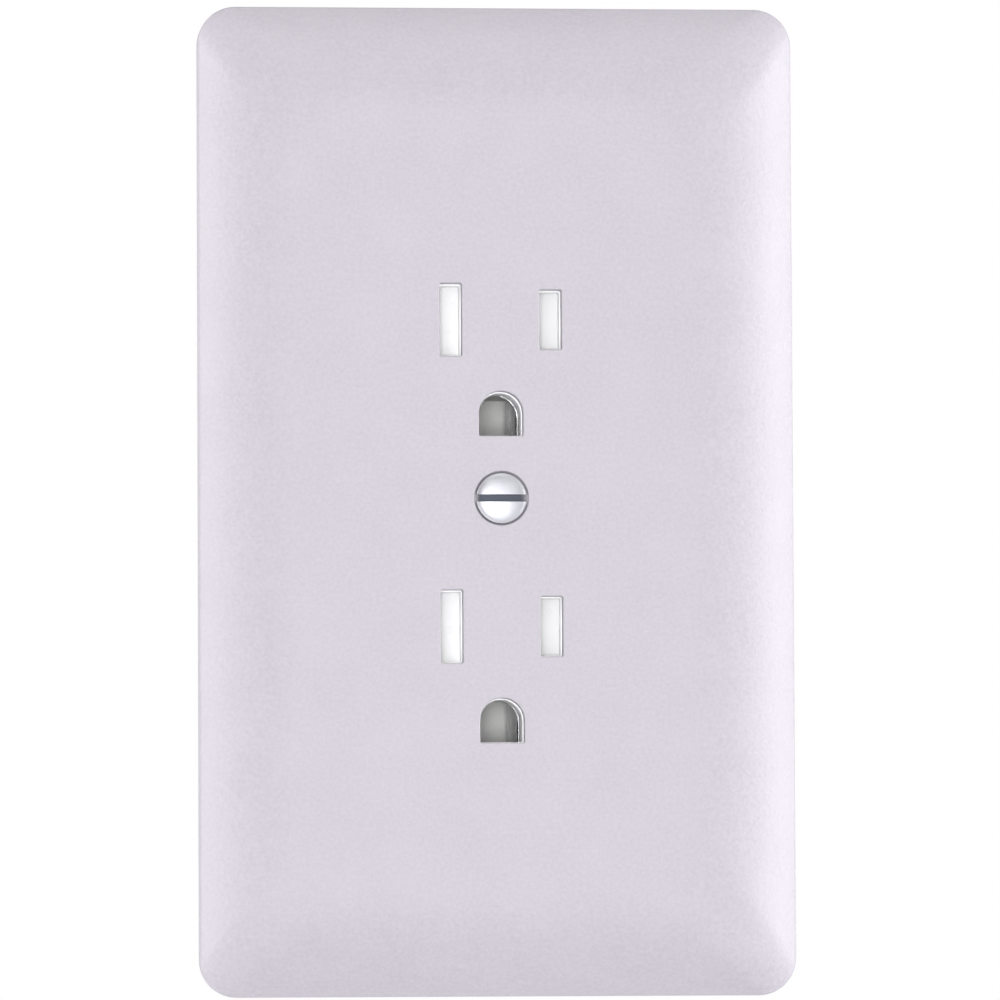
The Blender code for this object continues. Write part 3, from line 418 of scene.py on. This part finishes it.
def stand_for(obj, node, material=None):
    """The piece takes the CAD node's place on its body, with the given material if there is one."""
    obj.name = f"{node}_fine"
    obj.data.name = obj.name
    if material:
        obj.data.materials.clear()
        obj.data.materials.append(material)
    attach(obj, frame["nodes"][node]["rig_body"])
    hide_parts(node)
    return obj


def crown_height(inset, depth):
    """How far the plate stands off the wall at this distance in from its outline."""
    fillet = RIM_FILLET * (1 - math.sin(CROWN_ANGLE))
    radius = (CROWN_WIDTH - fillet) / math.sin(CROWN_ANGLE)
    return depth - radius + math.sqrt(radius**2 - max(0.0, CROWN_WIDTH - inset) ** 2)


def plate_sections(depth, steps=36):
    """(inset, height) from the foot of the rim, round its fillet and up the crown to the flat."""
    fillet_inset = RIM_FILLET * (1 - math.sin(CROWN_ANGLE))
    shoulder = crown_height(fillet_inset, depth) - RIM_FILLET * math.cos(CROWN_ANGLE)
    sections = [(0.0, 0.0), (0.0, shoulder * 0.5), (0.0, shoulder)]
    for i in range(1, 7):
        slope = math.pi / 2 + (CROWN_ANGLE - math.pi / 2) * i / 6
        sections.append((RIM_FILLET * (1 - math.sin(slope)), shoulder + RIM_FILLET * math.cos(slope)))
    radius = (CROWN_WIDTH - fillet_inset) / math.sin(CROWN_ANGLE)
    for i in range(1, steps + 1):
        slope = CROWN_ANGLE * (1 - i / steps)
        sections.append((CROWN_WIDTH - radius * math.sin(slope), depth - radius * (1 - math.cos(slope))))
    return sections


def slot_outline(x, z, width, height, corner=0.25):
    def outline(grow):
        points = rounded_rectangle(width + 2 * grow, height + 2 * grow, corner + grow, 5)
        return [(x + u, z + v) for u, v in points]

    return outline


def plate_shell(width, depth, height, materials):
    """The crowned skin, thickened towards the wall, with the plain plastic on its inside."""
    bm = bmesh.new()
    rings = []
    for inset, rise in plate_sections(depth):
        corner = PLATE_CORNER + (CROWN_CORNER - PLATE_CORNER) * inset / CROWN_WIDTH
        outline = rounded_rectangle(width - 2 * inset, height - 2 * inset, corner)
        rings.append([bm.verts.new(Vector((x, -rise, z)) * MM) for x, z in outline])
    skin(bm, rings)
    bm.faces.new(rings[-1])
    plate = from_bmesh("plate", bm)
    flat = max(plate.data.polygons, key=lambda p: p.area)
    if flat.normal.y > 0:
        plate.data.flip_normals()
    shell = plate.modifiers.new("wall", "SOLIDIFY")
    shell.thickness = PLATE_WALL * MM
    shell.offset = -1
    shell.use_even_offset = True
    shell.material_offset = 1
    for key in ("textured_plate", "plate_inside"):
        plate.data.materials.append(materials[key])
    bake_modifiers(plate)
    return plate


def plate_stiffeners(inside, materials):
    """The ribs round the device and the screw's boss. Small offsets keep their faces from coinciding."""
    root = inside - 0.4
    half = RIB_THICKNESS / 2
    pieces = [
        box(f"rib_side_{s}", (s * RIB_HALF_WIDTH - half, s * RIB_HALF_WIDTH + half), (root, -3.2),
            (-RIB_HALF_HEIGHT, RIB_HALF_HEIGHT))
        for s in (-1, 1)
    ]
    reach = RIB_HALF_WIDTH + half / 2
    pieces += [
        box(f"rib_end_{s}", (-reach, reach), (root + 0.05, -3.25),
            (s * RIB_HALF_HEIGHT - half - 0.1, s * RIB_HALF_HEIGHT + half - 0.1))
        for s in (-1, 1)
    ]
    circle = arc((0, 0), BOSS_RADIUS, 0, 360, 64)[:-1]
    pieces.append(loft("boss", [[(x, y, z) for x, z in circle] for y in (root + 0.1, -1.6)]))
    for piece in pieces:
        piece.data.materials.append(materials["plate_inside"])
    return pieces


def plate_openings(front, back, materials):
    """Cutters for the blade slots, the ground holes and the screw."""
    cutters = []
    for row in BLADE_ROWS.values():
        for pole, side in POLES.items():
            outline = slot_outline(side * BLADE_PITCH / 2, row, SLOT_WIDTH, SLOT_HEIGHT[pole])
            cutters.append(rounded_cutter(f"slot_{pole}_{row}", outline, front, back))
        ground = row - GROUND_DROP
        cutters.append(
            rounded_cutter(
                f"ground_{row}", lambda grow, z=ground: ground_hole(z, GROUND_WIDTH / 2 + grow), front, back
            )
        )
    cutters.append(screw_seat(front))
    for cutter in cutters:
        cutter.data.materials.append(materials["textured_plate"])
    return cutters


def make_plate(materials):
    low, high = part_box("wall_plate")
    width, depth, height = ((high - low) / MM)[:]
    inside = -depth + PLATE_WALL
    plate = plate_shell(width, depth, height, materials)
    boolean(plate, "UNION", plate_stiffeners(inside, materials))
    boolean(plate, "DIFFERENCE", plate_openings(-depth, inside + 1.2, materials))
    shade(plate, math.radians(30))
    weigh_normals(plate)
    return stand_for(plate, "wall_plate")


def screw_seat(front):
    """The countersunk hole for the plate's screw, its mouth softly rounded."""
    cone = (SCREW_MOUTH - SCREW_CLEARANCE) / math.tan(COUNTERSINK)
    profile = [(SCREW_CLEARANCE, 1.0), (SCREW_CLEARANCE, front + 0.25 + cone), (SCREW_MOUTH, front + 0.25)]
    rim = SCREW_MOUTH + 0.1
    profile += [(SCREW_MOUTH + 0.02, front + 0.12), (rim, front), (rim, front - 1)]
    turn = [2 * math.pi * i / 96 for i in range(96)]
    return loft("screw_seat", [[(r * math.cos(a), y, r * math.sin(a)) for a in turn] for r, y in profile])


# ---------------------------------------------------------------- screws, rivets and springs


def place_along(obj, location, direction):
    """Turns local +Z to the direction and moves the origin there. Location is in metres."""
    turn = Vector((0, 0, 1)).rotation_difference(Vector(direction)).to_matrix().to_4x4()
    obj.data.transform(Matrix.Translation(Vector(location)) @ turn)
    return obj


def lathe(name, profile, steps=48):
    """A turned solid about local Z, from (radius, height) points that start and end on the axis."""
    bm = bmesh.new()
    turn = [2 * math.pi * i / steps for i in range(steps)]
    top = bm.verts.new((0, 0, profile[0][1] * MM))
    bottom = bm.verts.new((0, 0, profile[-1][1] * MM))
    rings = [
        [bm.verts.new(Vector((r * math.cos(a), r * math.sin(a), z)) * MM) for a in turn]
        for r, z in profile[1:-1]
    ]
    skin(bm, rings)
    fan(bm, top, rings[0])
    fan(bm, bottom, rings[-1])
    return from_bmesh(name, bm)


def screw_mesh(name, head, length, slot, metals):
    """A head on a shank with a real helical thread, and a driver slot across the head whose faces take
    metals[1], which on the zinc screws is a dark painted shade in the slot.

    head is a profile from the axis down to the shank's top, and slot is (width, depth) from the head's top.
    """
    steps, per_turn, plain = 48, 8, 0.6
    top = head[-1][1] - plain
    rows = int((length + top) / THREAD_PITCH * per_turn)
    bm = bmesh.new()
    turn = [2 * math.pi * i / steps for i in range(steps)]
    rings = [[(r, z)] * steps for r, z in head[1:]]
    rings.append([(THREAD_RADIUS - 0.05, top + 0.05)] * steps)
    for row in range(rows + 1):
        z = top - row * THREAD_PITCH / per_turn
        fade = min(1.0, row / per_turn, (rows - row) / (per_turn * 1.5) + 0.25)
        ring = []
        for i in range(steps):
            phase = (row / per_turn + i / steps) % 1.0
            crest = 1.0 - abs(2 * phase - 1)
            groove = THREAD_DEPTH * (1 - min(1.0, max(0.0, crest * 1.5 - 0.25)))
            taper = max(0.0, row - rows + per_turn) / per_turn * 0.35
            ring.append((THREAD_RADIUS - groove * fade - taper, z))
        rings.append(ring)
    made = [
        [bm.verts.new(Vector((r * math.cos(a), r * math.sin(a), z)) * MM) for (r, z), a in zip(ring, turn)]
        for ring in rings
    ]
    skin(bm, made)
    fan(bm, bm.verts.new((0, 0, -length * MM)), made[-1])
    fan(bm, bm.verts.new((0, 0, head[0][1] * MM)), made[0])
    screw = from_bmesh(name, bm, metals[0])
    slot_width, slot_depth = slot
    slot_top = head[0][1]
    slot_bottom = slot_top - slot_depth
    half, reach = slot_width / 2, max(r for r, z in head) + 1
    section = [(-half, slot_bottom), (half, slot_bottom), (half, slot_top + 1), (-half, slot_top + 1)]
    cutter = loft("driver_slot", [[(x, y, z) for y, z in section] for x in (-reach, reach)])
    # The slot's faces take metals[1]. On the zinc screws this is painted shade, a dark colour where shade
    # falls in the slot.
    cutter.data.materials.append(metals[1])
    boolean(screw, "DIFFERENCE", [cutter])
    return screw


def oval_head(radius, dome, steps=10):
    """Domed head with a rolled rim, over a cone down to the shank."""
    swell = [
        (radius * 0.965 * math.sin(math.pi / 2 * i / steps), dome * math.cos(math.pi / 2 * i / steps) ** 0.9)
        for i in range(steps + 1)
    ]
    cone = (radius - THREAD_RADIUS) / math.tan(COUNTERSINK)
    rim = [(radius * 0.985, 0.06), (radius, 0.0), (radius * 0.99, -0.05)]
    return [*swell[:-1], *rim, (THREAD_RADIUS, -cone)]


def pan_head(radius, height, steps=8):
    """Flat-topped head with a rounded shoulder and a slightly undercut seat."""
    shoulder = 0.42 * height
    points = [(0, height), (radius * 0.45, height - 0.02), (radius - shoulder, height - 0.08)]
    for i in range(1, steps + 1):
        turn = math.pi / 2 * i / steps
        points.append(
            (radius - shoulder + shoulder * math.sin(turn), height - 0.08 - shoulder * (1 - math.cos(turn)))
        )
    return [*points, (radius, 0.1), (radius - 0.1, 0.0), (THREAD_RADIUS, 0.0)]


def origin_of(node, axis, sign, seat):
    """A screw's seat on its axis, in metres, from its node's box.

    axis is 0, 1 or 2, and seat is how far it lies from the box's face on the head's side.
    """
    low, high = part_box(node)
    middle = (low + high) / 2
    middle[axis] = (high[axis] if sign > 0 else low[axis]) - sign * seat * MM
    return middle


def make_screw(node, axis, sign, head_form, sizes, metals):
    radius, rise, length, *slot = sizes
    head = head_form(radius, rise)
    direction = Vector((0, 0, 0))
    direction[axis] = sign
    screw = screw_mesh(node, head, length, slot, metals)
    place_along(screw, origin_of(node, axis, sign, head[0][1]), direction)
    shade(screw, math.radians(35))
    return stand_for(screw, node)


def make_screws(materials):
    # The second material paints shade into the zinc screws' driver slots.
    zinc_and_slot_shade = (materials["screw_zinc"], materials["slot_dark"])
    make_screw("plate_screw", 1, -1, oval_head, PLATE_SCREW, zinc_and_slot_shade)
    for end in ("top", "bottom"):
        make_screw(f"mounting_screw_{end}", 1, -1, pan_head, MOUNTING_SCREW, zinc_and_slot_shade)
    for pole, side in POLES.items():
        metals = [materials["brass" if pole == "hot" else "nickel"]] * 2
        for end in ("top", "bottom"):
            make_screw(f"terminal_screw_{pole}_{end}", 0, side, pan_head, TERMINAL_SCREW, metals)
    make_screw("ground_screw", 0, -1, pan_head, GROUND_SCREW, [materials["green_steel"]] * 2)


def domed(radius, rise):
    """A rivet head's dome, from its top down to just above its rim."""
    turns = [math.pi / 2 * i / 8 for i in range(8)]
    return [(radius * math.sin(a), rise * math.cos(a)) for a in turns]


def make_rivets(materials):
    head, rise, shank = HOUSING_RIVET
    for across in ("left", "right"):
        for end in ("top", "bottom"):
            node = f"housing_rivet_{across}_{end}"
            low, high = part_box(node)
            stem = (high.y - low.y) / MM - 2 * rise
            front = [*domed(head, rise), (head, 0.06), (head - 0.06, 0.0), (shank, 0.0)]
            # The rolled end is a ring round a dimple, as a semi-tubular rivet's is.
            back = [(shank, -stem), (head - 0.06, -stem), (head, -stem - 0.12), (head - 0.2, -stem - 0.5)]
            back += [(head - 0.55, -stem - rise), (0.75, -stem - 0.45), (0.6, -stem - 0.1), (0, -stem - 0.08)]
            rivet = lathe(node, [*front, *back])
            place_along(rivet, ((low.x + high.x) / 2, low.y + rise * MM, (low.z + high.z) / 2), (0, -1, 0))
            shade(rivet)
            stand_for(rivet, node, materials["nickel"])
    head, rise, shank = GROUND_RIVET
    stem, chamfer = GROUND_RIVET_STEM, GROUND_RIVET_CHAMFER
    for end in ("top", "bottom"):
        node = f"ground_rivet_{end}"
        low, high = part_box(node)
        profile = [*domed(head, rise), (head, 0.05), (head - 0.05, 0), (shank, 0)]
        profile += [(shank, chamfer - stem), (shank - chamfer, -stem), (0, -stem)]
        rivet = lathe(node, profile)
        place_along(rivet, ((low.x + high.x) / 2, high.y - rise * MM, (low.z + high.z) / 2), (0, 1, 0))
        shade(rivet)
        stand_for(rivet, node, materials["nickel"])


def make_springs(materials):
    """Closed-end coils, each attached to its node's body with a mesh of its own."""
    wire, turns, dead = SPRING_WIRE, SPRING_TURNS, SPRING_DEAD_TURNS
    for end in ("top", "bottom"):
        node = f"shutter_spring_{end}"
        low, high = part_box(node)
        centre = (low + high) / 2 / MM
        start, stop = low.x / MM + wire, high.x / MM - wire
        radius = (high.y - low.y) / 2 / MM - wire
        curve = bpy.data.curves.new(node, "CURVE")
        curve.dimensions = "3D"
        curve.bevel_depth = wire * MM
        curve.bevel_resolution = 3
        curve.use_fill_caps = True
        per_turn = 24
        count = int(turns * per_turn)
        spline = curve.splines.new("POLY")
        spline.points.add(count)
        closed = 2 * wire
        for i, point in enumerate(spline.points):
            turn = i / per_turn
            middle = min(max(turn - dead, 0.0), turns - 2 * dead)
            ends = min(turn, dead) + max(turn - turns + dead, 0.0)
            x = start + ends * closed + middle * (stop - start - 2 * dead * closed) / (turns - 2 * dead)
            angle = 2 * math.pi * turn
            y, z = centre.y + radius * math.cos(angle), centre.z + radius * math.sin(angle)
            point.co = (x * MM, y * MM, z * MM, 1)
        source = bpy.data.objects.new(node, curve)
        bpy.context.scene.collection.objects.link(source)
        graph = bpy.context.evaluated_depsgraph_get()
        spring = new_object(node, bpy.data.meshes.new_from_object(source.evaluated_get(graph)))
        bpy.data.objects.remove(source)
        shade(spring, math.radians(60))
        stand_for(spring, node, materials["spring_steel"])
        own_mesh(spring)


# ---------------------------------------------------------------- pieces that take the CAD's shape

EDGES = {
    "front_housing": 0.2,
    "back_housing": 0.14,
    "mounting_strap": 0.12,
    "shutter_top": 0.12,
    "shutter_bottom": 0.12,
    "shutter_tray_top": 0.12,
    "shutter_tray_bottom": 0.12,
    "ground_contact_top": 0.07,
    "ground_contact_bottom": 0.07,
    "hot_contact_strip": 0.07,
    "neutral_contact_strip": 0.07,
    "wire_clamp_hot_top": 0.12,
    "wire_clamp_hot_bottom": 0.12,
    "wire_clamp_neutral_top": 0.12,
    "wire_clamp_neutral_bottom": 0.12,
    "grounding_clip": 0.05,
    "screw_retainer": 0.1,
}


def cad_copy(node):
    """The node's shape, welded into one surface."""
    obj = new_object(node, frame["nodes"][node].data.copy())
    bm = bmesh.new()
    bm.from_mesh(obj.data)
    bmesh.ops.remove_doubles(bm, verts=bm.verts, dist=0.002 * MM)
    bm.to_mesh(obj.data)
    bm.free()
    return obj


def make_cad_pieces(materials):
    for node, width in EDGES.items():
        obj = cad_copy(node)
        round_edges(obj, width)
        stand_for(obj, node, materials[SLOTS[node]])


# ---------------------------------------------------------------- stage, light and camera

CAMERA_AZIMUTH, CAMERA_ELEVATION = math.radians(-5.4), math.radians(-3.2)
CAMERA_DISTANCE, CAMERA_ROLL, CAMERA_LENS = 1.084, math.radians(-0.27), 305.8
CAMERA_AIM = Vector((0.00064, 0, 0.00026))

FLOOR_DROP, FLOOR_REACH = 0.25, 40
WORLD_STRENGTH = 1.0
# Name, azimuth and elevation in degrees, distance and (width, height) in metres, and power in watts.
LIGHTS = (
    ("front", -5, -3, 1.5, (0.3, 0.3), 11),
    ("right", 80, 0, 1.2, (0.5, 1.2), 23.5),
    ("left", -82, 0, 1.3, (0.5, 1.2), 18.5),
    ("top", 0, 60, 1.3, (1.0, 0.6), 4.8),
)


def toward(azimuth, elevation):
    """From the object towards a viewer at this azimuth and elevation."""
    flat = math.cos(elevation)
    return Vector((math.sin(azimuth) * flat, -math.cos(azimuth) * flat, math.sin(elevation)))


def make_camera():
    data = bpy.data.cameras.new("camera")
    data.lens = CAMERA_LENS
    data.sensor_width = 36
    data.clip_start, data.clip_end = 0.01, 20
    camera = bpy.data.objects.new("camera", data)
    bpy.context.scene.collection.objects.link(camera)
    out = toward(CAMERA_AZIMUTH, CAMERA_ELEVATION)
    turn = out.to_track_quat("Z", "Y") @ Matrix.Rotation(CAMERA_ROLL, 3, "Z").to_quaternion()
    camera.rotation_euler = turn.to_euler()
    camera.location = CAMERA_AIM + out * CAMERA_DISTANCE
    bpy.context.scene.camera = camera


def area_light(name, azimuth, elevation, distance, size, power):
    data = bpy.data.lights.new(name, "AREA")
    data.shape = "RECTANGLE"
    data.size, data.size_y = size
    data.energy = power
    light = bpy.data.objects.new(name, data)
    bpy.context.scene.collection.objects.link(light)
    out = toward(math.radians(azimuth), math.radians(elevation))
    light.location = out * distance
    light.rotation_euler = out.to_track_quat("Z", "Y").to_euler()


def make_stage():
    """A plain pale floor under a white sky, which is the background from every side."""
    height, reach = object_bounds()[0][2] - FLOOR_DROP, FLOOR_REACH
    n = Nodes("stage")
    n.set(Base_Color=(0.9, 0.9, 0.91, 1), Roughness=0.8)
    bm = bmesh.new()
    corners = ((-reach, -reach), (reach, -reach), (reach, reach), (-reach, reach))
    bm.faces.new([bm.verts.new((x, y, height)) for x, y in corners])
    from_bmesh("floor", bm, n.material)


def make_light():
    world = bpy.data.worlds.new("studio")
    bpy.context.scene.world = world
    world.use_nodes = True
    background = world.node_tree.nodes["Background"]
    background.inputs["Color"].default_value = (1.0, 1.0, 1.0, 1)
    background.inputs["Strength"].default_value = WORLD_STRENGTH
    for light in LIGHTS:
        area_light(*light)


# ---------------------------------------------------------------- all


def main():
    scene = bpy.context.scene
    scene.view_settings.view_transform = "Standard"
    make_camera()
    make_stage()
    make_light()
    materials = make_materials()
    make_plate(materials)
    make_screws(materials)
    make_rivets(materials)
    make_springs(materials)
    make_cad_pieces(materials)


for startup in [o for o in bpy.data.objects if o.name in ("Cube", "Light", "Camera")]:
    bpy.data.objects.remove(startup)
main()
